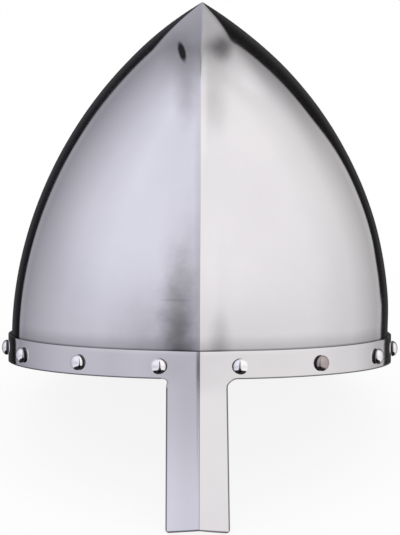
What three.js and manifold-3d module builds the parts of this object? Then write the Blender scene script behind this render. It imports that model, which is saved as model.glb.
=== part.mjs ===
// A pointed steel helmet: a conical crown of one sheet with a ridge down its front, a riveted
// brow band round its foot, and a nasal guard in one piece with the band.
// Millimetres, +Z up. The helmet is drawn upright, its front towards -Y and the lower edge of
// its band at z = 0. It then leans back, to rest on its nasal and on the back of its rim.

import * as THREE from 'three';
import { mergeVertices } from 'three/addons/utils/BufferGeometryUtils.js';
import Module from 'manifold-3d';

const wasm = await Module();
wasm.setup();

// Brow band
const bandWidth = 206;
const bandLength = 232;
const bandHeight = 14.3;
const bandWall = 1.6;

// Crown
const crownRise = 178;
const crownWall = 1.6;
const crownSetback = 1;
const sheetGap = 0.3;

// Ridge down the front: it fades towards the tip, and the band goes over it with fuller flanks.
const ridgeHeight = 2.6;
const ridgeReach = 15;
const ridgeHollow = 3;
const ridgeFade = 0.7;
const ridgeTipShare = 0.45;
const bandRidgeHollow = 1.5;

// Nasal guard
const nasalLength = 78.8;
const nasalTopWidth = 30.6;
const nasalBottomWidth = 32.4;
const nasalFillet = 3.8;
const nasalCorner = 1.8;
const nasalNotch = 1.6;
const nasalFold = 3.6;
const nasalFoldMargin = 1;
const nasalBlend = 24;

// Rivets, placed by their turn from the front, the same on both sides, a little below the band's
// middle
const rivetTurns = [11.7, 37.4, 64.6, 89.6, 115, 140.6, 167.2];
const rivetDrop = 0.65;
const rivetHead = { diameter: 8.2, height: 3.4, rim: 0.6 };
const rivetShank = 4;
const rivetTail = { diameter: 6.4, height: 1.2, edgeRadiusShare: 0.7, edgeHeightShare: 0.75 };
const rivetClearance = 0.3;

// Steps of the faceted surfaces
const flankColumns = 5;
const gapColumns = 4;
const outerRings = 16;
const innerRings = 12;
const rivetSides = 10;
const rivetDomeDegrees = [36, 60];
const filletSteps = 4;
const leanSteps = 40;
const cutMargin = 5;

const bandHalfWidth = bandWidth / 2;
const bandHalfLength = bandLength / 2;
const crownHalfWidth = bandHalfWidth - bandWall - sheetGap;
const crownHalfLength = bandHalfLength - bandWall - sheetGap;

// The crown's profile is one arc that leaves the band upright and ends at the tip.
const archRadius = (crownHalfWidth ** 2 + crownRise ** 2) / (2 * crownHalfWidth);
const archCentre = archRadius - crownHalfWidth;

// Where the columns of facets stand round the helmet, as shares of the way from the foot of the
// ridge to the nape. Each rivet has the middle of a facet, and so has the nape.
const turns = rivetTurns.map((degrees) => THREE.MathUtils.degToRad(degrees));
const baseFlank = Math.asin(ridgeReach / crownHalfWidth);
const columnShares = [0];
turns.forEach((turn, i) => {
  const isLast = i === turns.length - 1;
  const next = isLast ? 2 * Math.PI - turn : turns[i + 1];
  const columns = isLast ? gapColumns / 2 : gapColumns;
  for (let k = 0; k < columns; k += 1) {
    const angle = turn + ((k + 0.5) / gapColumns) * (next - turn);
    columnShares.push((angle - baseFlank) / (Math.PI - baseFlank));
  }
});

// One level section at height z: an ellipse with the ridge standing out of its front. The points
// run from the crest round by +X to the nape, and back by -X.
function section(z, halfWidth, halfLength, ridge) {
  const flank = Math.asin(ridge.reach / halfWidth);
  const half = [];
  for (let i = 0; i < flankColumns; i += 1) {
    const share = i / flankColumns;
    const angle = Math.asin((share * ridge.reach) / halfWidth);
    const stand = ridge.height * (1 - share) ** ridge.hollow;
    half.push([halfWidth * Math.sin(angle), -halfLength * Math.cos(angle) - stand]);
  }
  columnShares.forEach((share) => {
    const angle = flank + share * (Math.PI - flank);
    half.push([halfWidth * Math.sin(angle), -halfLength * Math.cos(angle)]);
  });
  const mirrored = half.slice(1).reverse().map(([x, y]) => [-x, y]);
  return [...half, ...mirrored].map(([x, y]) => [x, y, z]);
}

// The solid between rings of points, in the order inner top, inner foot, outer foot, outer top.
// A ring of one point is a tip; without tips, the last ring is joined to the first.
function loft(rings, hasTips) {
  const positions = rings.flat(2);
  const starts = [];
  rings.reduce((start, ring) => {
    starts.push(start);
    return start + ring.length;
  }, 0);
  const index = [];
  const pairs = hasTips ? rings.length - 1 : rings.length;
  for (let k = 0; k < pairs; k += 1) {
    const next = (k + 1) % rings.length;
    const columns = Math.max(rings[k].length, rings[next].length);
    for (let j = 0; j < columns; j += 1) {
      const a = starts[k] + (j % rings[k].length);
      const b = starts[k] + ((j + 1) % rings[k].length);
      const c = starts[next] + ((j + 1) % rings[next].length);
      const d = starts[next] + (j % rings[next].length);
      // The two halves are split along mirrored diagonals.
      const triangles = j > columns / 2 ? [[a, b, d], [b, c, d]] : [[a, b, c], [a, c, d]];
      triangles.filter((t) => new Set(t).size === 3).forEach((t) => index.push(...t));
    }
  }
  const geometry = new THREE.BufferGeometry();
  geometry.setAttribute('position', new THREE.Float32BufferAttribute(positions, 3));
  geometry.setIndex(index);
  return geometry;
}

function toSolid(geometry) {
  const bare = geometry.clone();
  bare.deleteAttribute('normal');
  bare.deleteAttribute('uv');
  const merged = mergeVertices(bare);
  return new wasm.Manifold(new wasm.Mesh({
    numProp: 3,
    vertProperties: new Float32Array(merged.attributes.position.array),
    triVerts: new Uint32Array(merged.index.array),
  }));
}

function toGeometry(solid) {
  const mesh = solid.getMesh();
  const geometry = new THREE.BufferGeometry();
  geometry.setAttribute('position', new THREE.BufferAttribute(mesh.vertProperties, 3));
  geometry.setIndex(new THREE.BufferAttribute(mesh.triVerts, 1));
  geometry.computeVertexNormals();
  return geometry;
}

// Crown: rings of one face of the sheet, set in from the outer face by inset. The ridge narrows
// with the sections and gets lower on its way up.
function crownRings(inset, steps) {
  const radius = archRadius - inset;
  const depthRatio = (crownHalfLength - inset) / (crownHalfWidth - inset);
  const tipAngle = Math.acos(archCentre / radius);
  const ring = (z, halfWidth) => {
    const reach = Math.min(ridgeReach, ridgeTipShare * halfWidth);
    const riseShare = Math.max(0, (z - bandHeight) / crownRise);
    const height = (ridgeHeight * (1 - ridgeFade * riseShare) * reach) / ridgeReach;
    const ridge = { reach, height, hollow: ridgeHollow };
    return section(z, halfWidth, halfWidth * depthRatio, ridge);
  };
  const rings = [ring(crownSetback, crownHalfWidth - inset)];
  for (let i = 0; i < steps; i += 1) {
    const angle = (i / steps) * tipAngle;
    rings.push(ring(bandHeight + radius * Math.sin(angle), radius * Math.cos(angle) - archCentre));
  }
  rings.push([[0, 0, bandHeight + radius * Math.sin(tipAngle)]]);
  return rings;
}

function crownSheet() {
  const inner = crownRings(crownWall, innerRings).reverse();
  return toSolid(loft([...inner, ...crownRings(0, outerRings)], true));
}

// Brow band and nasal: the band's sheet is carried on below the brow, where the ridge opens into
// a plain fold, and all of it but the nasal is cut away.
const bandRidge = { reach: ridgeReach, height: ridgeHeight, hollow: bandRidgeHollow };
const nasalRidge = { reach: nasalBottomWidth / 2 + nasalFoldMargin, height: nasalFold, hollow: 1 };

function bandRings(inset) {
  const levels = [
    [-nasalLength - cutMargin, nasalRidge],
    [-nasalBlend, nasalRidge],
    [0, bandRidge],
    [bandHeight + cutMargin, bandRidge],
  ];
  return levels.map(([z, ridge]) => section(z, bandHalfWidth - inset, bandHalfLength - inset, ridge));
}

function nasalOutline() {
  const top = nasalTopWidth / 2;
  const bottom = nasalBottomWidth / 2;
  const shape = new THREE.Shape();
  shape.moveTo(-top - nasalFillet, bandHeight / 2);
  shape.lineTo(-top - nasalFillet, 0);
  shape.absarc(-top - nasalFillet, -nasalFillet, nasalFillet, Math.PI / 2, 0, true);
  shape.lineTo(-bottom, -nasalLength + nasalCorner);
  shape.absarc(-bottom + nasalCorner, -nasalLength + nasalCorner, nasalCorner, Math.PI, 1.5 * Math.PI);
  shape.lineTo(0, -nasalLength + nasalNotch);
  shape.absarc(bottom - nasalCorner, -nasalLength + nasalCorner, nasalCorner, 1.5 * Math.PI, 2 * Math.PI);
  shape.lineTo(top, -nasalFillet);
  shape.absarc(top + nasalFillet, -nasalFillet, nasalFillet, Math.PI, Math.PI / 2, true);
  shape.lineTo(top + nasalFillet, bandHeight / 2);
  shape.closePath();
  return shape;
}

function bandSheet() {
  const wall = toSolid(loft([...bandRings(0), ...bandRings(bandWall).reverse()], false));
  const slabLength = bandLength + 2 * (ridgeHeight + cutMargin);
  const slab = new THREE.BoxGeometry(bandWidth + cutMargin, slabLength, bandHeight);
  slab.translate(0, 0, bandHeight / 2);
  const front = new THREE.ExtrudeGeometry(nasalOutline(), {
    depth: bandHalfLength + nasalFold + ridgeHeight + cutMargin,
    bevelEnabled: false,
    curveSegments: filletSteps,
  });
  front.rotateX(Math.PI / 2);
  return wall.intersect(toSolid(slab).add(toSolid(front)));
}

// Rivets: each stands square on its facet of the band, all at one height.
const seats = [];
const rivetLine = section(bandHeight / 2 - rivetDrop, bandHalfWidth, bandHalfLength, bandRidge);
rivetTurns.forEach((turn, i) => {
  const before = new THREE.Vector3(...rivetLine[flankColumns + gapColumns * i]);
  const after = new THREE.Vector3(...rivetLine[flankColumns + gapColumns * i + 1]);
  const point = before.clone().lerp(after, 0.5);
  const along = after.sub(before).normalize();
  const out = new THREE.Vector3(along.y, -along.x, 0);
  [1, -1].forEach((side) => seats.push({
    point: new THREE.Vector3(side * point.x, point.y, point.z),
    turn: new THREE.Quaternion().setFromUnitVectors(
      new THREE.Vector3(0, 1, 0),
      new THREE.Vector3(side * out.x, out.y, 0),
    ),
  }));
});

// A rivet's profile along its axis, from 0 at the band's face: domed head, shank through both
// sheets, and tail hammered down inside.
function rivetGeometry() {
  const grip = bandWall + sheetGap + crownWall + rivetClearance;
  const head = rivetHead.diameter / 2;
  const tail = rivetTail.diameter / 2;
  const dome = rivetHead.height - rivetHead.rim;
  const seat = rivetClearance + rivetHead.rim;
  const domePoints = rivetDomeDegrees.map((degrees) => {
    const angle = THREE.MathUtils.degToRad(degrees);
    return [head * Math.cos(angle), seat + dome * Math.sin(angle)];
  });
  const points = [
    [0, -grip - rivetTail.height],
    [tail * rivetTail.edgeRadiusShare, -grip - rivetTail.height * rivetTail.edgeHeightShare],
    [tail, -grip],
    [rivetShank / 2, -grip],
    [rivetShank / 2, rivetClearance],
    [head, rivetClearance],
    [head, seat],
    ...domePoints,
    [0, seat + dome],
  ];
  return new THREE.LatheGeometry(points.map(([r, y]) => new THREE.Vector2(r, y)), rivetSides);
}

function rivetHoles() {
  const radius = rivetShank / 2 + rivetClearance;
  const length = 2 * (bandWall + sheetGap + crownWall + cutMargin);
  return seats.map((seat) => {
    const hole = new THREE.CylinderGeometry(radius, radius, length, rivetSides);
    hole.applyQuaternion(seat.turn);
    hole.translate(seat.point.x, seat.point.y, seat.point.z);
    return toSolid(hole);
  });
}

// Materials
const crownSteel = new THREE.MeshStandardMaterial({ color: 0xd3d3da, metalness: 1, roughness: 0.34 });
const bandSteel = new THREE.MeshStandardMaterial({ color: 0xc6c7cd, metalness: 1, roughness: 0.3 });
const rivetSteel = new THREE.MeshStandardMaterial({ color: 0xe2e2e4, metalness: 1, roughness: 0.16 });

// The assembled helmet, upright
const upright = new THREE.Group();
const holes = rivetHoles();
const pierce = (sheet) => holes.reduce((solid, hole) => solid.subtract(hole), sheet);

const crown = new THREE.Mesh(toGeometry(pierce(crownSheet())), crownSteel);
crown.name = 'crown';
const browBand = new THREE.Mesh(toGeometry(pierce(bandSheet())), bandSteel);
browBand.name = 'brow_band';
upright.add(crown, browBand);

seats.forEach((seat, i) => {
  const rivet = new THREE.Mesh(rivetGeometry(), rivetSteel);
  rivet.name = `rivet_${String(i + 1).padStart(2, '0')}`;
  rivet.position.copy(seat.point);
  rivet.quaternion.copy(seat.turn);
  upright.add(rivet);
});

// The lean at which the nasal and the back of the rim stand on one level.
function restLean(geometry) {
  const positions = geometry.attributes.position;
  const lowest = (lean, side) => {
    let low = Infinity;
    for (let i = 0; i < positions.count; i += 1) {
      const y = positions.getY(i);
      const z = positions.getZ(i);
      if (y * side > 0) low = Math.min(low, z * Math.cos(lean) - y * Math.sin(lean));
    }
    return low;
  };
  let low = 0;
  let high = Math.PI / 4;
  for (let i = 0; i < leanSteps; i += 1) {
    const lean = (low + high) / 2;
    if (lowest(lean, -1) < lowest(lean, 1)) low = lean;
    else high = lean;
  }
  return (low + high) / 2;
}

upright.rotation.x = -restLean(browBand.geometry);

// The origin is the middle of the helmet's box, on the surface that it rests on.
const helmet = new THREE.Group();
helmet.add(upright);
helmet.updateMatrixWorld(true);
const box = new THREE.Box3().setFromObject(helmet, true);
upright.position.set(-(box.min.x + box.max.x) / 2, -(box.min.y + box.max.y) / 2, -box.min.z);

export default helmet;
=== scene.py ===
"""A pointed steel helmet with a ridged crown, a riveted brow band and a nasal guard.

The shapes are worked out upright, in metres, the front towards -Y and the lower edge of the band
at z = 0, and are then leaned back into the frame, where the helmet rests on its nasal and rim.
"""

import math
from typing import NamedTuple

import bpy
import numpy as np
from mathutils import Matrix, Vector


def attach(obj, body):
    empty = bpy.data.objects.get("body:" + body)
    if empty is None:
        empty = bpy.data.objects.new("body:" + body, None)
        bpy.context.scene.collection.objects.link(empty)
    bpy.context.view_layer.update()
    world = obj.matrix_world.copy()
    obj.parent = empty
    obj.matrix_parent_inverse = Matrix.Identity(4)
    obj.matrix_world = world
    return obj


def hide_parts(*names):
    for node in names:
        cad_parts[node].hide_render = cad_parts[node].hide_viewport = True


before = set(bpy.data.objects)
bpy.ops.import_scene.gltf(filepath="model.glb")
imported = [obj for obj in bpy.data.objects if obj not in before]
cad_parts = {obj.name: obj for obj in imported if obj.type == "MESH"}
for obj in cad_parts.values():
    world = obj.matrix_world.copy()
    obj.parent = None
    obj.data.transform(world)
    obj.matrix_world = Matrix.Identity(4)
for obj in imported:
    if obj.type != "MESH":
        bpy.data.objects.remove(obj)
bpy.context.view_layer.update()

MM = 0.001

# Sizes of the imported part, in metres. The nasal is a little shorter and the rivets' heads are a
# little lower than the solids, so that nothing passes their box.
BAND_HALF_WIDTH = 102.9 * MM
BAND_HALF_LENGTH = 115.75 * MM
BAND_HEIGHT = 14.3 * MM
BAND_WALL = 1.6 * MM
CROWN_RISE = 178 * MM
CROWN_WALL = 1.6 * MM
CROWN_SETBACK = 1 * MM
SHEET_GAP = 0.3 * MM
RIDGE_HEIGHT = 2.6 * MM
RIDGE_REACH = 12.5 * MM
RIDGE_HOLLOW = 3
RIDGE_FADE = 0.7
RIDGE_TIP_SHARE = 0.45
CREST_ROUNDING = 0.035
BAND_RIDGE_HEIGHT = 3.2 * MM
NASAL_LENGTH = 78.64 * MM
NASAL_TOP = 15.3 * MM
NASAL_BOTTOM = 16.2 * MM
NASAL_FILLET = 3.8 * MM
NASAL_CORNER = 1.8 * MM
NASAL_NOTCH = 1.6 * MM
NASAL_FOLD = 3.6 * MM
FOLD_MARGIN = 1 * MM
FOLD_REACH = NASAL_BOTTOM + FOLD_MARGIN
FOLD_ROUNDING = 0.02
NASAL_BLEND = 24 * MM
RIVET_TURNS = (11.7, 37.4, 64.6, 89.6, 115, 140.6, 167.2)
RIVET_HEAD_RADIUS = 4.1 * MM
RIVET_HEAD_HEIGHT = 3.3 * MM
RIVET_SHANK_RADIUS = 2 * MM
RIVET_TAIL_RADIUS = 3.2 * MM
RIVET_TAIL_HEIGHT = 1.2 * MM
RIVET_CLEARANCE = 0.3 * MM
RIVET_DROP = 0.65 * MM
RIVET_RIM_HEIGHT = 0.6 * MM
RIVET_RIM_ROUNDING = 0.25 * MM
DULL_RIVET = "rivet_03"

# The painted shade round a rivet's rim is full up to the first height and gone at the second
RIM_PAINTED_SHADE = (0.95 * MM, 1.45 * MM)

# Rounding of the band's cut edges
EDGE_ROUNDING = 0.45 * MM

# How much fuller than its arc hand work left the real crown's right side over the band, and the
# shares of the rise from which that is full, to which it stays so and at which it ends
CROWN_FULLNESS = 0.65 * MM
FULLNESS_FROM = 0.12
FULLNESS_TO = 0.3
FULLNESS_END = 0.6

# How much wider hand work left each side of the nasal
NASAL_TOP_EXTRA = 0.4 * MM
NASAL_BOTTOM_EXTRA = 0.25 * MM

# How far hand work left the real shapes to one side. The crown's flanks stand out most a little
# over half way up, its crest follows the tip from a share of the rise on, and the nasal's sides
# go the other way.
CROWN_SWAY = 1.5 * MM
SWAY_POWER = 1.3
TIP_SWAY = 0.8 * MM
CREST_SWAY_START = 0.75
NASAL_TOP_SWAY = -1.4 * MM
NASAL_BOTTOM_SWAY = -0.7 * MM

# The crests stay straight: how far to their sides the crown's and the nasal's shift is full. The
# nasal's starts at the band and is full below its fillets.
CROWN_SWAY_REACH = 45 * MM
NASAL_SWAY_REACH = 8 * MM
SWAY_BLEND = NASAL_FILLET

# Steps of the rounded surfaces, and powers that crowd them towards the crest, the middle of the
# band's front and the tip
OUTER_RINGS = 150
INNER_RINGS = 60
FLANK_COLUMNS = 20
SIDE_COLUMNS = 119
BAND_ROWS = 6
BAND_COLUMNS = 240
FILLET_ROWS = 8
NASAL_ROWS = 33
CORNER_ROWS = 6
NASAL_COLUMNS = 48
RIVET_SIDES = 40
TAIL_RINGS = 6
RIM_RINGS = 4
DOME_RINGS = 14
FLANK_CROWDING = 1.35
FRONT_CROWDING = 1.5
TIP_CROWDING = 0.9

# How far up the crown's arc its last ring stands, as a share of the way to the tip
LAST_RING_SHARE = 0.9985

CROWN_HALF_WIDTH = BAND_HALF_WIDTH - BAND_WALL - SHEET_GAP
CROWN_HALF_LENGTH = BAND_HALF_LENGTH - BAND_WALL - SHEET_GAP
ARCH_RADIUS = (CROWN_HALF_WIDTH**2 + CROWN_RISE**2) / (2 * CROWN_HALF_WIDTH)
ARCH_CENTRE = ARCH_RADIUS - CROWN_HALF_WIDTH

# How the upright helmet leans back into the frame
LEAN = math.radians(18.9424)
UPRIGHT_ORIGIN = Vector((0, 7.927, 37.597)) * MM
STAND = Matrix.Translation(UPRIGHT_ORIGIN) @ Matrix.Rotation(-LEAN, 4, "X")
# The upright helmet's own origin, in axes turned as it is
UPRIGHT_SHIFT = Matrix.Rotation(LEAN, 3, "X") @ UPRIGHT_ORIGIN

# Camera
CAMERA_DISTANCE = 2.0
CAMERA_RISE = math.radians(3.55)
CAMERA_ROLL = math.radians(0.2)
CAMERA_TARGET = Vector((0, 0, 49.8)) * MM
PICTURE_WIDTH = 215.2 * MM


def make_camera():
    data = bpy.data.cameras.new("camera")
    camera = bpy.data.objects.new("camera", data)
    bpy.context.scene.collection.objects.link(camera)
    back = Vector((0, -math.cos(CAMERA_RISE), math.sin(CAMERA_RISE)))
    upright_place = Matrix.Translation(CAMERA_TARGET + CAMERA_DISTANCE * back)
    turn = Matrix.Rotation(math.pi / 2 - CAMERA_RISE, 4, "X") @ Matrix.Rotation(CAMERA_ROLL, 4, "Z")
    camera.matrix_world = STAND @ upright_place @ turn
    data.sensor_fit = "HORIZONTAL"
    data.sensor_width = 36
    data.lens = data.sensor_width * CAMERA_DISTANCE / PICTURE_WIDTH
    data.clip_start = 0.1
    data.clip_end = 50
    bpy.context.scene.camera = camera


# Shapes
def smoothstep(low, high, value):
    share = np.clip((value - low) / (high - low), 0, 1)
    return share * share * (3 - 2 * share)


def sway(x, z):
    """Sideways shift of the crown's flanks at one level: nothing at its foot, most a little
    over half way up."""
    share = np.clip((z - BAND_HEIGHT) / CROWN_RISE, 0, 1)
    shift = CROWN_SWAY * math.sin(math.pi * share**SWAY_POWER) + TIP_SWAY * share
    crest = TIP_SWAY * smoothstep(CREST_SWAY_START, 1, share)
    fuller = CROWN_FULLNESS * smoothstep(0, FULLNESS_FROM, share)
    fuller = fuller * smoothstep(FULLNESS_END, FULLNESS_TO, share)
    return crest + (shift - crest + (x > 0) * fuller) * smoothstep(0, CROWN_SWAY_REACH, np.abs(x))


# Where the columns stand: closer towards the crest on its flanks, then even round to the nape,
# which has the middle of a face
FLANK_SHARES = np.linspace(0, 1, FLANK_COLUMNS + 1)[:-1] ** FLANK_CROWDING
SIDE_SHARES = np.linspace(0, 1, SIDE_COLUMNS + 1)[:-1] * (1 + 0.5 / SIDE_COLUMNS)


def fold(share, rounding, hollow):
    """Height of a ridge, from 1 at its softly rounded crest to 0 at its foot."""
    softened = np.sqrt(share**2 + rounding**2) - rounding
    longest = math.sqrt(1 + rounding**2) - rounding
    return (1 - softened / longest) ** hollow


def section_points(half_width, half_length, reach, height):
    """One level section as x and y, from the crest round by +X to the nape and back by -X."""
    flank = math.asin(reach / half_width)
    flank_angle = np.arcsin(FLANK_SHARES * reach / half_width)
    side_angle = flank + SIDE_SHARES * (math.pi - flank)
    angle = np.concatenate((flank_angle, side_angle))
    ridge = height * fold(FLANK_SHARES, CREST_ROUNDING, RIDGE_HOLLOW)
    stand = np.concatenate((ridge, np.zeros(len(SIDE_SHARES))))
    x = half_width * np.sin(angle)
    y = -half_length * np.cos(angle) - stand
    x = np.concatenate((x, -x[:0:-1]))
    y = np.concatenate((y, y[:0:-1]))
    return x, y


def make_object(name, vertices, faces, material):
    mesh = bpy.data.meshes.new(name)
    mesh.from_pydata([tuple(v) for v in vertices], [], faces)
    mesh.transform(STAND)
    mesh.shade_smooth()
    mesh.materials.append(material)
    mesh.update()
    piece = bpy.data.objects.new(name, mesh)
    bpy.context.scene.collection.objects.link(piece)
    return piece


def ring_faces(rings, columns, first=0):
    faces = []
    for i in range(rings - 1):
        for j in range(columns):
            k = (j + 1) % columns
            a = first + i * columns
            b = a + columns
            faces.append((a + j, a + k, b + k, b + j))
    return faces


def soft_least(first, second, sharpness=6):
    """The smaller of two lengths, with a smooth change from one to the other."""
    return (first**-sharpness + second**-sharpness) ** (-1 / sharpness)


def crown_face(inset, rings):
    """One face of the crown's sheet, as rings from its foot up to just under its tip, and the tip.
    The ridge narrows with the section near the tip."""
    radius = ARCH_RADIUS - inset
    depth_ratio = (CROWN_HALF_LENGTH - inset) / (CROWN_HALF_WIDTH - inset)
    tip_angle = math.acos(ARCH_CENTRE / radius)
    levels = [(CROWN_SETBACK, CROWN_HALF_WIDTH - inset)]
    for share in np.linspace(0, 1, rings) ** TIP_CROWDING:
        angle = min(share, LAST_RING_SHARE) * tip_angle
        z = BAND_HEIGHT + radius * math.sin(angle)
        levels.append((z, radius * math.cos(angle) - ARCH_CENTRE))
    points = []
    for z, half_width in levels:
        reach = soft_least(RIDGE_REACH, RIDGE_TIP_SHARE * half_width)
        rise_share = max(0, (z - BAND_HEIGHT) / CROWN_RISE)
        height = RIDGE_HEIGHT * (1 - RIDGE_FADE * rise_share) * reach / RIDGE_REACH
        x, y = section_points(half_width, half_width * depth_ratio, reach, height)
        x = x + sway(x, z)
        points.append(np.stack((x, y, np.full(len(x), z)), axis=1))
    tip = np.array((TIP_SWAY, 0, BAND_HEIGHT + radius * math.sin(tip_angle)))
    return points, tip


def make_crown(material):
    outer, outer_tip = crown_face(0, OUTER_RINGS)
    inner, inner_tip = crown_face(CROWN_WALL, INNER_RINGS)
    columns = len(outer[0])
    vertices = np.concatenate(outer + inner + [outer_tip[None], inner_tip[None]])
    start = len(outer) * columns
    faces = ring_faces(len(outer), columns)
    faces += [face[::-1] for face in ring_faces(len(inner), columns, start)]
    last_outer = start - columns
    last_inner = start + (len(inner) - 1) * columns
    tip = start + len(inner) * columns
    for j in range(columns):
        k = (j + 1) % columns
        faces.append((last_outer + j, last_outer + k, tip))
        faces.append((last_inner + k, last_inner + j, tip + 1))
        faces.append((start + j, start + k, k, j))
    crown = make_object("crown_shell", vertices, faces, material)
    inside = crown.data.attributes.new("inside", "FLOAT", "POINT")
    # The outer tip comes after the inner face's rings
    for i in range(start, len(vertices)):
        inside.data[i].value = 0 if i == tip else 1
    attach(crown, "root")
    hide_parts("crown")


def band_front(x, height):
    """How far forward the band's or nasal's outer face stands at x."""
    stand = height * fold(np.clip(np.abs(x) / FOLD_REACH, 0, 1), FOLD_ROUNDING, 1)
    return -BAND_HALF_LENGTH * np.sqrt(1 - (x / BAND_HALF_WIDTH) ** 2) - stand


def nasal_rows():
    """Rows of the nasal from the band down: how far below the band, and half how wide."""
    rows = []
    for share in np.linspace(0, 1, FILLET_ROWS + 1)[1:]:
        turn = share * math.pi / 2
        half_width = NASAL_TOP + NASAL_FILLET * (1 - math.sin(turn))
        rows.append((NASAL_FILLET * (1 - math.cos(turn)), half_width))
    straight_end = NASAL_LENGTH - NASAL_CORNER
    for share in np.linspace(0, 1, NASAL_ROWS + 1)[1:]:
        depth = NASAL_FILLET + share * (straight_end - NASAL_FILLET)
        rows.append((depth, NASAL_TOP + share * (NASAL_BOTTOM - NASAL_TOP)))
    for share in np.linspace(0, 1, CORNER_ROWS + 1)[1:]:
        turn = share * math.pi / 2
        half_width = NASAL_BOTTOM - NASAL_CORNER * (1 - math.cos(turn))
        rows.append((straight_end + NASAL_CORNER * math.sin(turn), half_width))
    return rows


def nasal_row(shares, depth, half_width):
    """The points of one row of the nasal, with hand work's shift and extra width."""
    blend = float(smoothstep(0, NASAL_BLEND, depth))
    height = BAND_RIDGE_HEIGHT + blend * (NASAL_FOLD - BAND_RIDGE_HEIGHT)
    down = depth / NASAL_LENGTH
    begun = float(smoothstep(0, SWAY_BLEND, depth))
    extra = begun * (NASAL_TOP_EXTRA + down * (NASAL_BOTTOM_EXTRA - NASAL_TOP_EXTRA))
    shift = begun * (NASAL_TOP_SWAY + down * (NASAL_BOTTOM_SWAY - NASAL_TOP_SWAY))
    x = shares * (half_width + extra)
    x = x + shift * smoothstep(0, NASAL_SWAY_REACH, np.abs(x))
    notch = NASAL_NOTCH * (1 - np.abs(shares)) * smoothstep(0.6 * NASAL_LENGTH, NASAL_LENGTH, depth)
    return list(zip(x, band_front(x, height), notch - depth))


def make_band(material):
    """The band's outer face as a ring of rows, with the nasal's rows hung from its front. A
    thickness inwards and rounded edges make it a sheet."""
    join = NASAL_TOP + NASAL_FILLET
    shares = np.linspace(-1, 1, NASAL_COLUMNS + 1)
    shares = np.sign(shares) * np.abs(shares) ** FRONT_CROWDING
    front_x = shares * join
    start_angle = math.asin(join / BAND_HALF_WIDTH)
    around = np.linspace(start_angle, 2 * math.pi - start_angle, BAND_COLUMNS + 1)[1:-1]
    ring_x = np.concatenate((front_x, BAND_HALF_WIDTH * np.sin(around)))
    ridge_y = band_front(front_x, BAND_RIDGE_HEIGHT)
    ring_y = np.concatenate((ridge_y, -BAND_HALF_LENGTH * np.cos(around)))
    columns = len(ring_x)
    vertices = []
    for i in range(BAND_ROWS + 1):
        z = BAND_HEIGHT * (1 - i / BAND_ROWS)
        vertices += list(zip(ring_x, ring_y, np.full(columns, z)))
    faces = []
    for i in range(BAND_ROWS):
        for j in range(columns):
            k = (j + 1) % columns
            a = i * columns
            b = a + columns
            faces.append((a + k, a + j, b + j, b + k))
    previous = BAND_ROWS * columns + np.arange(NASAL_COLUMNS + 1)
    for depth, half_width in nasal_rows():
        current = len(vertices) + np.arange(NASAL_COLUMNS + 1)
        vertices += nasal_row(shares, depth, half_width)
        for j in range(NASAL_COLUMNS):
            face = (previous[j + 1], previous[j], current[j], current[j + 1])
            faces.append(tuple(int(vertex) for vertex in face))
        previous = current
    band = make_object("band_and_nasal", vertices, faces, material)
    sheet = band.modifiers.new("sheet", "SOLIDIFY")
    sheet.thickness = BAND_WALL
    sheet.offset = -1
    edges = band.modifiers.new("edges", "BEVEL")
    edges.width = EDGE_ROUNDING
    edges.segments = 3
    edges.limit_method = "ANGLE"
    edges.angle_limit = math.radians(60)
    edges.harden_normals = False
    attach(band, "root")
    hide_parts("brow_band")


def rim_shade(height):
    """1 at the foot of a rivet's head, where its painted shade is full, fading to 0 a little way up
    its dome.
    """
    full, gone = RIM_PAINTED_SHADE
    return 1 - float(smoothstep(full, gone, height))


def rivet_profile():
    """Radius and height along a rivet's axis, from the middle of its tail to the top of its head."""
    grip = BAND_WALL + SHEET_GAP + CROWN_WALL + RIVET_CLEARANCE
    seat = RIVET_CLEARANCE
    rim = RIVET_RIM_HEIGHT
    points = []
    for share in np.linspace(0, 1, TAIL_RINGS + 1):
        turn = share * math.pi / 2
        points.append((RIVET_TAIL_RADIUS * math.sin(turn), -grip - RIVET_TAIL_HEIGHT * math.cos(turn)))
    points += [(RIVET_SHANK_RADIUS, -grip), (RIVET_SHANK_RADIUS, seat)]
    points.append((RIVET_HEAD_RADIUS - RIVET_RIM_ROUNDING, seat))
    for share in np.linspace(0, 1, RIM_RINGS + 1):
        drawn_in = RIVET_RIM_ROUNDING * (1 - math.sin(share * math.pi / 2))
        points.append((RIVET_HEAD_RADIUS - drawn_in, seat + rim * share))
    dome = RIVET_HEAD_HEIGHT - rim
    for share in np.linspace(0, 1, DOME_RINGS + 1)[1:]:
        turn = share * math.pi / 2
        points.append((RIVET_HEAD_RADIUS * math.cos(turn), seat + rim + dome * math.sin(turn)))
    return points


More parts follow.
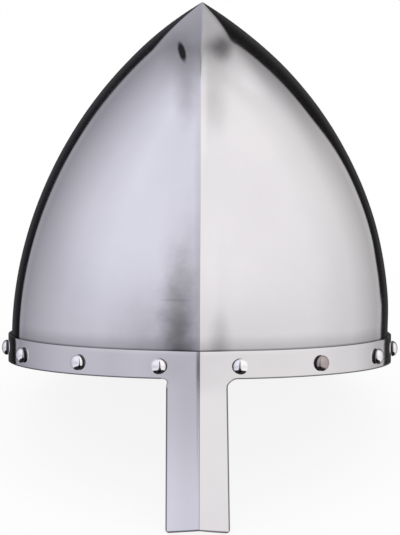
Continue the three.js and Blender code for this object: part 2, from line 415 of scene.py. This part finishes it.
def make_rivet(name, node, x, y, out, material):
    """A turned rivet on the band's face at x and y, its head towards out."""
    turned = Vector((0, 0, 1)).rotation_difference(Vector((*out, 0)).normalized())
    place = Matrix.Translation((x, y, BAND_HEIGHT / 2 - RIVET_DROP)) @ turned.to_matrix().to_4x4()
    profile = rivet_profile()
    vertices = []
    for radius, height in profile[1:-1]:
        for j in range(RIVET_SIDES):
            turn = 2 * math.pi * j / RIVET_SIDES
            vertices.append(place @ Vector((radius * math.cos(turn), radius * math.sin(turn), height)))
    rings = len(profile) - 2
    faces = ring_faces(rings, RIVET_SIDES)
    vertices.append(place @ Vector((0, 0, profile[0][1])))
    vertices.append(place @ Vector((0, 0, profile[-1][1])))
    tail_top = rings * RIVET_SIDES
    last_ring = tail_top - RIVET_SIDES
    for j in range(RIVET_SIDES):
        k = (j + 1) % RIVET_SIDES
        faces.append((k, j, tail_top))
        faces.append((last_ring + j, last_ring + k, tail_top + 1))
    rivet = make_object(name, vertices, faces, material)
    # The painted shade round the foot of the head
    rim = rivet.data.attributes.new("rim", "FLOAT", "POINT")
    for i, (_, height) in enumerate(profile[1:-1]):
        for j in range(RIVET_SIDES):
            rim.data[i * RIVET_SIDES + j].value = rim_shade(height)
    dull = rivet.data.attributes.new("dull", "FLOAT", "POINT")
    if node == DULL_RIVET:
        for item in dull.data:
            item.value = 1
    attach(rivet, "root")
    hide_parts(node)


def make_rivets(material):
    number = 1
    for degrees in RIVET_TURNS:
        angle = math.radians(degrees)
        for side in (1, -1):
            x = side * BAND_HALF_WIDTH * math.sin(angle)
            y = -BAND_HALF_LENGTH * math.cos(angle)
            out = (side * BAND_HALF_LENGTH * math.sin(angle), -BAND_HALF_WIDTH * math.cos(angle))
            make_rivet(f"rivet_dome_{number:02d}", f"rivet_{number:02d}", x, y, out, material)
            number += 1


# Materials
class Nodes:
    """Short names for making and joining the nodes of one tree."""

    def __init__(self, tree):
        self.tree = tree

    def add(self, kind, **settings):
        node = self.tree.nodes.new(kind)
        for key, value in settings.items():
            setattr(node, key, value)
        return node

    def link(self, source, target):
        self.tree.links.new(source, target)

    def math(self, operation, *values):
        node = self.add("ShaderNodeMath", operation=operation)
        for socket, value in zip(node.inputs, values):
            if isinstance(value, (int, float)):
                socket.default_value = value
            else:
                self.link(value, socket)
        return node.outputs[0]

    def plus(self, first, second):
        return self.math("ADD", first, second)

    def minus(self, first, second):
        return self.math("SUBTRACT", first, second)

    def times(self, first, second):
        return self.math("MULTIPLY", first, second)

    def length(self, across, along):
        squares = self.plus(self.times(across, across), self.times(along, along))
        return self.math("SQRT", squares)

    def step(self, value, low, high, to_low=0.0, to_high=1.0):
        """Turns value from low..high smoothly into to_low..to_high."""
        node = self.add("ShaderNodeMapRange", interpolation_type="SMOOTHSTEP")
        self.link(value, node.inputs["Value"])
        names = ("From Min", "From Max", "To Min", "To Max")
        for name, number in zip(names, (low, high, to_low, to_high)):
            node.inputs[name].default_value = number
        return node.outputs["Result"]

    def ramp(self, value, stops):
        node = self.add("ShaderNodeValToRGB")
        node.color_ramp.interpolation = "LINEAR"
        elements = node.color_ramp.elements
        while len(elements) < len(stops):
            elements.new(0.5)
        for element, (position, colour) in zip(elements, stops):
            element.position = position
            element.color = (*colour, 1)
        self.link(value, node.inputs["Fac"])
        return node.outputs["Color"]

    def mix(self, factor, first, second, blend="MIX"):
        node = self.add("ShaderNodeMix", data_type="RGBA", blend_type=blend)
        # The colours are this node's seventh and eighth inputs, and its third output
        sockets = (node.inputs[0], node.inputs[6], node.inputs[7])
        for socket, value in zip(sockets, (factor, first, second)):
            if isinstance(value, (int, float)):
                socket.default_value = value
            elif isinstance(value, tuple):
                socket.default_value = (*value, 1)
            else:
                self.link(value, socket)
        return node.outputs[2]

    def shade(self, colour, share):
        return self.mix(1.0, colour, share, "MULTIPLY")

    def noise(self, vector, scale, detail, roughness):
        node = self.add("ShaderNodeTexNoise")
        self.link(vector, node.inputs["Vector"])
        node.inputs["Scale"].default_value = scale
        node.inputs["Detail"].default_value = detail
        node.inputs["Roughness"].default_value = roughness
        return node.outputs["Fac"]

    def bump(self, height, strength, distance):
        node = self.add("ShaderNodeBump")
        node.inputs["Strength"].default_value = strength
        node.inputs["Distance"].default_value = distance
        self.link(height, node.inputs["Height"])
        return node

    def attribute(self, name):
        return self.add("ShaderNodeAttribute", attribute_name=name).outputs["Fac"]

    def split(self, vector):
        """The x, y and z of a vector."""
        node = self.add("ShaderNodeSeparateXYZ")
        self.link(vector, node.inputs[0])
        return node.outputs

    def upright(self, coordinates, kind="POINT"):
        """Texture coordinates, turned back as the upright helmet stands."""
        node = self.add("ShaderNodeMapping", vector_type=kind)
        node.inputs["Rotation"].default_value = (LEAN, 0, 0)
        self.link(self.add("ShaderNodeTexCoord").outputs[coordinates], node.inputs["Vector"])
        return node.outputs["Vector"]


class Steel(NamedTuple):
    """A steel in the making: its material and nodes, a point's place in the upright helmet as a
    vector and as x, y and z, and the colour and roughness that all the steels begin with."""

    material: bpy.types.Material
    nodes: Nodes
    place: bpy.types.NodeSocket
    x: bpy.types.NodeSocket
    y: bpy.types.NodeSocket
    z: bpy.types.NodeSocket
    metal: bpy.types.NodeSocket
    rough: bpy.types.NodeSocket


class PaintedPatch(NamedTuple):
    """A soft patch painted on the helmet's front, mostly painted shade: its middle and half sizes in
    millimetres, its lean to the left in degrees, the share of its radius that fades, and the light
    that it takes. Where that is less than 0, the patch is a painted highlight."""

    x: float
    z: float
    wide: float
    high: float
    lean: float
    fade: float
    loss: float


CROWN_PAINTED_LIGHT_AND_MARKS = (
    # Painted shade left of the ridge, rising from the band, and fainter on its right
    PaintedPatch(-10.6, 12, 14, 66, 0, 1, 0.64),
    PaintedPatch(-6, 45, 18, 60, 0, 1, 0.28),
    PaintedPatch(-24, 8, 26, 60, 0, 1, 0.24),
    PaintedPatch(10, 14, 8, 26, 0, 1, 0.3),
    # A line of painted shade left of the crest, and a painted highlight right of it towards the tip
    PaintedPatch(-0.9, 80, 3, 130, 0, 1, 0.13),
    PaintedPatch(1.6, 150, 3.2, 60, 0, 1, -0.12),
    # Painted shade beside the ridge, high on the crown
    PaintedPatch(-7, 147, 9.5, 26, 0, 1, 0.32),
    PaintedPatch(6.5, 142, 11, 28, 0, 1, 0.22),
    # Painted reflections of two dents near the tip, one deep and one shallow, and painted shade round
    # them
    PaintedPatch(-9.9, 165.8, 2.4, 6.9, 16, 0.5, 0.93),
    PaintedPatch(11.6, 168.2, 8.2, 11, -4, 0.9, 0.58),
    PaintedPatch(-14, 168, 12, 14, 0, 1, 0.16),
    PaintedPatch(6.5, 169, 9, 7.5, 0, 1, 0.22),
    # A painted highlight beside the darkness on the right
    PaintedPatch(23, 154, 9, 22, 40, 1, -0.2),
    # A scratch across the painted shade
    PaintedPatch(-13, 40, 11, 1, 0, 1, 0.16),
)

BAND_PAINTED_SHADE = (
    # Painted shade in a line left of the crest on the band and the nasal
    PaintedPatch(-0.7, 6, 1.7, 18, 0, 1, 0.5),
    PaintedPatch(-0.6, 14, 1.6, 85, 0, 1, 0.4),
    # Painted shade beside the nasal's root
    PaintedPatch(-18, 6, 15, 14, 0, 0.8, 0.1),
)

# How far to each side of the crest a painted patch fades out
CREST_SOFTNESS = 0.15 * MM

# The grinding marks run level, and are this many times finer up and down
MARK_STRETCH = 60

# Painted shade over the band: how high it reaches, how ragged its edge is, and the line of painted
# shade at its foot
FOOT_SHADE_REACH = 9 * MM
FOOT_SHADE_RAGGED = 3 * MM
FOOT_SHADE_LINE = 1.3 * MM

# Lines of painted shade along the band's cut edges: how far in from the edge each is full, and has
# gone
SIDE_LINE = (0.4 * MM, 0.9 * MM)
BROW_LINE = (0.4 * MM, 0.9 * MM)
CORNER_LINE = (0.3 * MM, 0.9 * MM)
FOOT_LINE = (0.5 * MM, 1.1 * MM)


def patch_loss(nodes, x, z, patch, ragged):
    """The light that one painted patch takes at a point, as painted shade; where it is less than 0,
    the patch is a painted highlight. Its edge is slightly ragged, and it stops at the ridge's crest."""
    lean_cos = math.cos(math.radians(patch.lean))
    lean_sin = math.sin(math.radians(patch.lean))
    wide = patch.wide * MM
    high = patch.high * MM
    right = nodes.minus(x, patch.x * MM)
    up = nodes.minus(z, patch.z * MM)
    across = nodes.plus(nodes.times(right, lean_cos / wide), nodes.times(up, lean_sin / wide))
    along = nodes.minus(nodes.times(up, lean_cos / high), nodes.times(right, lean_sin / high))
    radius = nodes.plus(nodes.length(across, along), ragged)
    side = math.copysign(CREST_SOFTNESS, patch.x)
    kept = nodes.step(x, -side, side)
    return nodes.times(nodes.step(radius, 1 - patch.fade, 1, patch.loss, 0), kept)


# Paints the patches' shade and highlights into the metal's colour
def paint_patches(steel, metal, smudges, ragged, shown=1):
    nodes = steel.nodes
    for patch in smudges:
        loss = nodes.times(patch_loss(nodes, steel.x, steel.z, patch, ragged), shown)
        metal = nodes.shade(metal, nodes.minus(1, loss))
    return metal


def make_steel(name, colour, dull_colour, roughness, grain, lumps):
    """Ground and polished sheet steel: clouds of duller metal, fine level grinding marks and the
    faint lumps that hammering leaves."""
    material = bpy.data.materials.new(name)
    material.use_nodes = True
    nodes = Nodes(material.node_tree)
    shader = material.node_tree.nodes["Principled BSDF"]
    shader.inputs["Metallic"].default_value = 1
    moved = nodes.add("ShaderNodeVectorMath", operation="SUBTRACT")
    nodes.link(nodes.upright("Object"), moved.inputs[0])
    moved.inputs[1].default_value = UPRIGHT_SHIFT
    place = moved.outputs[0]
    x, y, z = nodes.split(place)
    streaked = nodes.add("ShaderNodeMapping")
    streaked.inputs["Scale"].default_value = (1, 1, MARK_STRETCH)
    nodes.link(place, streaked.inputs["Vector"])
    clouds = nodes.noise(place, scale=14, detail=4, roughness=0.55)
    marks = nodes.noise(streaked.outputs["Vector"], scale=30, detail=5, roughness=0.7)
    metal = nodes.mix(nodes.step(clouds, 0.35, 0.7), colour, dull_colour)
    cloudy = nodes.step(clouds, 0.3, 0.75, roughness - 0.02, roughness + 0.04)
    rough = nodes.plus(cloudy, nodes.step(marks, 0.3, 0.7, -0.015, 0.015))
    fine = nodes.bump(marks, grain, 0.02 * MM)
    hammered = nodes.noise(place, scale=22, detail=1.5, roughness=0.4)
    coarse = nodes.bump(hammered, lumps, 0.4 * MM)
    nodes.link(fine.outputs["Normal"], coarse.inputs["Normal"])
    nodes.link(coarse.outputs["Normal"], shader.inputs["Normal"])
    return Steel(material, nodes, place, x, y, z, metal, rough)


def finish_steel(steel, metal, rough):
    shader = steel.material.node_tree.nodes["Principled BSDF"]
    steel.nodes.link(metal, shader.inputs["Base Color"])
    steel.nodes.link(rough, shader.inputs["Roughness"])
    return steel.material


def crown_steel():
    """Steel with painted shade over the band, painted shade, highlights and a scratch on its front,
    and a dull, scaled inside.
    """
    steel = make_steel(
        "crown_steel",
        colour=(0.77, 0.77, 0.78),
        dull_colour=(0.73, 0.73, 0.75),
        roughness=0.06,
        grain=0.3,
        lumps=0.2,
    )
    nodes = steel.nodes
    # Painted shade in the corner over the band, then a thin line of painted shade right against it
    foot_shade_noise = nodes.minus(nodes.noise(steel.place, scale=60, detail=4, roughness=0.6), 0.5)
    foot = nodes.plus(steel.z, nodes.times(foot_shade_noise, FOOT_SHADE_RAGGED))
    foot_shade = nodes.step(foot, BAND_HEIGHT, BAND_HEIGHT + FOOT_SHADE_REACH, 0.72, 1)
    line = nodes.step(steel.z, BAND_HEIGHT, BAND_HEIGHT + FOOT_SHADE_LINE, 0.45, 1)
    metal = nodes.shade(nodes.shade(steel.metal, foot_shade), line)
    torn = nodes.minus(nodes.noise(steel.place, scale=120, detail=3, roughness=0.6), 0.5)
    front = nodes.step(steel.y, -6 * MM, 6 * MM, 1, 0)
    # Painted shade, painted highlights and a scratch on the crown's front
    metal = paint_patches(steel, metal, CROWN_PAINTED_LIGHT_AND_MARKS, nodes.times(torn, 0.3), front)
    inside = nodes.attribute("inside")
    scale = nodes.step(nodes.noise(steel.place, scale=40, detail=5, roughness=0.6), 0.35, 0.65)
    metal = nodes.mix(inside, metal, nodes.mix(scale, (0.34, 0.33, 0.33), (0.44, 0.43, 0.42)))
    rough = nodes.plus(steel.rough, nodes.times(inside, 0.3))
    return finish_steel(steel, metal, rough)


def band_painted_shading(steel):
    """Painted light and shade on the band: darker round the brow and down the nasal's left flank,
    which is painted lighter towards its tip and towards its outer side."""
    nodes = steel.nodes
    left = nodes.step(steel.z, -75 * MM, -4 * MM, 1.03, 0.77)
    right = nodes.step(steel.z, -10 * MM, 0, 1, 0.93)
    flank = nodes.step(steel.x, -1 * MM, 0)
    tone = nodes.plus(left, nodes.times(flank, nodes.minus(right, left)))
    return nodes.times(tone, nodes.step(steel.x, -17 * MM, -5 * MM, 1.12, 1))


def edge_line(nodes, inward, line):
    full, gone = line
    return nodes.step(inward, full, gone, 1, 0)


def cut_edges_and_painted_shade(steel):
    """Where the sheet's darker cut edge shows, with painted shade: where it faces down, and as thin
    lines of painted shade along the nasal's sides, the brow, the corners between them and the nasal's
    foot."""
    nodes = steel.nodes
    x = steel.x
    z = steel.z
    down = nodes.math("DIVIDE", z, -NASAL_LENGTH)
    begun = nodes.step(z, -SWAY_BLEND, 0, 1, 0)
    half_width = nodes.plus(NASAL_TOP, nodes.times(down, NASAL_BOTTOM - NASAL_TOP))
    half_width = nodes.plus(half_width, nodes.times(begun, NASAL_BOTTOM_EXTRA))
    sway_change = nodes.times(down, NASAL_BOTTOM_SWAY - NASAL_TOP_SWAY)
    shift = nodes.times(begun, nodes.plus(NASAL_TOP_SWAY, sway_change))
    off_middle = nodes.math("ABSOLUTE", nodes.minus(x, shift))
    aside = nodes.minus(off_middle, half_width)
    side_line = edge_line(nodes, nodes.minus(half_width, off_middle), SIDE_LINE)
    on_nasal = nodes.step(z, -NASAL_FILLET - 1 * MM, -NASAL_FILLET, 1, 0)
    sides = nodes.times(side_line, on_nasal)
    brow = nodes.times(edge_line(nodes, z, BROW_LINE), nodes.step(aside, 3 * MM, 5 * MM))
    # Painted shade round the corners between band and nasal, fainter on the left
    past_side = nodes.math("MINIMUM", nodes.minus(aside, NASAL_FILLET), 0)
    past_band = nodes.math("MAXIMUM", nodes.plus(z, NASAL_FILLET), 0)
    from_corner = nodes.minus(nodes.length(past_side, past_band), NASAL_FILLET)
    corner = nodes.times(edge_line(nodes, from_corner, CORNER_LINE), side_line)
    corner = nodes.times(corner, nodes.step(x, -1 * MM, 1 * MM, 0.4, 1))
    # Painted shade along the foot, which rises to its notch in the middle
    notch = nodes.minus(NASAL_NOTCH, nodes.times(off_middle, NASAL_NOTCH / NASAL_BOTTOM))
    over_foot = nodes.minus(nodes.plus(z, NASAL_LENGTH), notch)
    foot = edge_line(nodes, over_foot, FOOT_LINE)
    # Darker where the sheet faces down: rough cut edge steel, with painted shade under it
    facing = nodes.split(nodes.upright("Normal", "NORMAL"))
    cut_edge_and_shade = nodes.step(facing[2], -0.75, -0.25, 1, 0)
    for share in (sides, brow, corner, foot):
        cut_edge_and_shade = nodes.math("MAXIMUM", cut_edge_and_shade, share)
    return cut_edge_and_shade


def band_steel():
    """Steel with painted light and shade, and rough, darker cut edges with painted shade along them.
    """
    steel = make_steel(
        "band_steel",
        colour=(0.86, 0.86, 0.87),
        dull_colour=(0.82, 0.82, 0.84),
        roughness=0.08,
        grain=0.3,
        lumps=0.2,
    )
    nodes = steel.nodes
    # Painted light and shade over the band and nasal
    metal = nodes.shade(steel.metal, band_painted_shading(steel))
    # Painted shade along the crest and beside the nasal's root
    metal = paint_patches(steel, metal, BAND_PAINTED_SHADE, 0)
    # Dark cut edges with painted shade along them
    cut_edge_and_shade = cut_edges_and_painted_shade(steel)
    metal = nodes.mix(nodes.times(cut_edge_and_shade, 0.88), metal, (0.09, 0.09, 0.10))
    rough = nodes.plus(steel.rough, nodes.times(cut_edge_and_shade, 0.3))
    return finish_steel(steel, metal, rough)


def rivet_steel():
    """Bright domes with painted shade round their rims, darkest at the foot of the head. The one
    dull rivet has gone brown."""
    steel = make_steel(
        "rivet_steel",
        colour=(0.93, 0.93, 0.94),
        dull_colour=(0.88, 0.88, 0.89),
        roughness=0.05,
        grain=0.2,
        lumps=0.2,
    )
    nodes = steel.nodes
    # Painted shade round the rims
    rim = nodes.attribute("rim")
    metal = nodes.mix(nodes.times(rim, 0.93), steel.metal, (0.05, 0.05, 0.055))
    rough = nodes.plus(steel.rough, nodes.times(rim, 0.25))
    dull = nodes.attribute("dull")
    metal = nodes.mix(dull, metal, nodes.shade(metal, (0.48, 0.42, 0.41)))
    rough = nodes.plus(rough, nodes.times(dull, 0.22))
    return finish_steel(steel, metal, rough)


# Surroundings
FLOOR_REACH = 12
FLOOR_GREY = (0.12, 0.12, 0.12, 1)
FLOOR_GLOW = 0.88


def make_floor():
    """A pale floor that the steel doesn't reflect."""
    mesh = bpy.data.meshes.new("floor")
    signs = ((-1, -1), (1, -1), (1, 1), (-1, 1))
    corners = [(x * FLOOR_REACH, y * FLOOR_REACH, 0) for x, y in signs]
    mesh.from_pydata(corners, [], [(0, 1, 2, 3)])
    floor = bpy.data.objects.new("floor", mesh)
    bpy.context.scene.collection.objects.link(floor)
    material = bpy.data.materials.new("floor")
    material.use_nodes = True
    shader = material.node_tree.nodes["Principled BSDF"]
    shader.inputs["Base Color"].default_value = FLOOR_GREY
    shader.inputs["Roughness"].default_value = 0.9
    shader.inputs["Specular IOR Level"].default_value = 0
    shader.inputs["Emission Color"].default_value = (1, 1, 1, 1)
    shader.inputs["Emission Strength"].default_value = FLOOR_GLOW
    mesh.materials.append(material)
    floor.visible_glossy = False


# What stands round the helmet, by the turn from its front: how bright it looks in the steel
ROUND_LIGHT = (
    (-180, 0.38),
    (-155, 0.33),
    (-140, 0.27),
    (-97, 0.59),
    (-70, 0.70),
    (-30, 0.68),
    (0, 0.72),
    (20, 0.79),
    (80, 0.77),
    (112, 0.65),
    (140, 0.38),
    (155, 0.45),
    (180, 0.40),
)
# The share of that light which is lost towards the ground
GROUND_LOSS = (
    (-180, 0.0),
    (-135, 0.0),
    (-100, 0.17),
    (-60, 0.30),
    (-30, 0.22),
    (0, 0.25),
    (25, 0.18),
    (100, 0.12),
    (140, 0.0),
    (180, 0.0),
)
# How high the darkness behind reaches, in degrees
DARK_TOP = (
    (-180, 44),
    (-168, 40),
    (-161, 33),
    (-149, 35),
    (140, 55),
    (156, 46),
    (180, 44),
)
# The share of its light that the steel gives back, and the light's tint on the left and right
STEEL_SHARE = 0.74
COOL = (0.97, 0.955, 1.075)
WARM = (1.02, 0.985, 0.995)
# The turn of the dark post in front
POST_TURN = 2


def round_ramp(nodes, share, table, scale=1.0):
    """A number that changes with the turn from the helmet's front."""
    stops = [(degrees / 360 + 0.5, (value / scale,) * 3) for degrees, value in table]
    return nodes.times(nodes.ramp(share, stops), scale)


def light_losses(nodes, turn, away, rise, share):
    """The shares of the light that are lost, each for a reason of its own."""
    near_horizon = nodes.times(nodes.step(rise, -8, 26, 1, 0), nodes.step(rise, -34, -12))
    ground = nodes.times(round_ramp(nodes, share, GROUND_LOSS), near_horizon)
    # Dimmer high up behind, towards the zenith and straight below
    high_behind = nodes.times(nodes.step(rise, 50, 68, 0, 0.1), nodes.step(away, 85, 125))
    zenith = nodes.step(rise, 60, 95, 0, 0.12)
    below = nodes.step(rise, -44, -34, 0.97, 0)
    # A dark post in front, which widens towards the ground
    half_width = nodes.step(rise, -45, -8, 24, 6)
    aside = nodes.minus(nodes.math("ABSOLUTE", nodes.minus(turn, POST_TURN)), half_width)
    post = nodes.times(nodes.step(aside, -2, 3, 1, 0), nodes.step(rise, 40, 80, 0.92, 0.3))
    # Dimmer on the right, next to the darkness
    dim = nodes.times(nodes.step(rise, 18, 34), nodes.step(rise, 46, 60, 1, 0))
    beside_dark = nodes.times(dim, nodes.step(turn, 116, 142, 0, 0.3))
    return ground, high_behind, zenith, below, post, beside_dark


def dark_behind(nodes, turn, away, rise, share):
    """How much of the darkness behind covers a direction. Its left edge is upright. Its right
    edge slants, with a small step at the horizon. Its top is softest straight behind."""
    left = nodes.step(turn, -149.2, -146.6, 1, 0)
    right_edge = nodes.step(rise, 9.5, 25, 149, 142.4)
    right_edge = nodes.plus(right_edge, nodes.step(rise, -3, -1, 0, -1.5))
    right_edge = nodes.plus(right_edge, nodes.step(rise, 1.5, 4, 0, 1.5))
    right = nodes.step(nodes.minus(turn, right_edge), -1.2, 1.2)
    under = nodes.minus(round_ramp(nodes, share, DARK_TOP, 90), rise)
    softness = nodes.step(away, 160, 174, 2, 7)
    below_top = nodes.step(nodes.math("DIVIDE", under, softness), -1, 1)
    return nodes.times(nodes.plus(left, right), below_top)


def make_world():
    """A studio seen in the steel: a cool light wall on the left, a brighter neutral one on the
    right, darkness behind the helmet and below it, and in front a dark post that widens towards
    the ground. All else is lit by a plain white room."""
    world = bpy.data.worlds.new("studio")
    bpy.context.scene.world = world
    world.use_nodes = True
    tree = world.node_tree
    nodes = Nodes(tree)
    # Turn from the helmet's front towards +X and rise over its level, in degrees
    x, y, z = nodes.split(nodes.upright("Generated"))
    turn = nodes.math("DEGREES", nodes.math("ARCTAN2", x, nodes.times(y, -1)))
    away = nodes.math("ABSOLUTE", turn)
    rise = nodes.math("DEGREES", nodes.math("ARCSINE", z))
    share = nodes.plus(nodes.math("DIVIDE", turn, 360), 0.5)
    light = nodes.math("DIVIDE", round_ramp(nodes, share, ROUND_LIGHT), STEEL_SHARE)
    for loss in light_losses(nodes, turn, away, rise, share):
        light = nodes.times(light, nodes.minus(1, loss))
    dark = dark_behind(nodes, turn, away, rise, share)
    light = nodes.times(light, nodes.minus(1, dark))
    light = nodes.plus(light, nodes.times(dark, nodes.step(away, 151, 168, 0.012, 0.055)))
    warmth = nodes.times(nodes.step(turn, -28, 12), nodes.step(turn, 150, 180, 1, 0.5))
    scaled = nodes.add("ShaderNodeVectorMath", operation="SCALE")
    nodes.link(nodes.mix(warmth, COOL, WARM), scaled.inputs[0])
    nodes.link(light, scaled.inputs["Scale"])
    seen_in_steel = tree.nodes["Background"]
    nodes.link(scaled.outputs[0], seen_in_steel.inputs["Color"])
    room = nodes.add("ShaderNodeBackground")
    room.inputs["Color"].default_value = (1, 1, 1, 1)
    mixed = nodes.add("ShaderNodeMixShader")
    nodes.link(nodes.add("ShaderNodeLightPath").outputs["Is Glossy Ray"], mixed.inputs[0])
    nodes.link(room.outputs[0], mixed.inputs[1])
    nodes.link(seen_in_steel.outputs[0], mixed.inputs[2])
    nodes.link(mixed.outputs[0], tree.nodes["World Output"].inputs["Surface"])


make_camera()
make_floor()
make_world()
bpy.context.scene.view_settings.view_transform = "Standard"
make_crown(crown_steel())
make_band(band_steel())
make_rivets(rivet_steel())
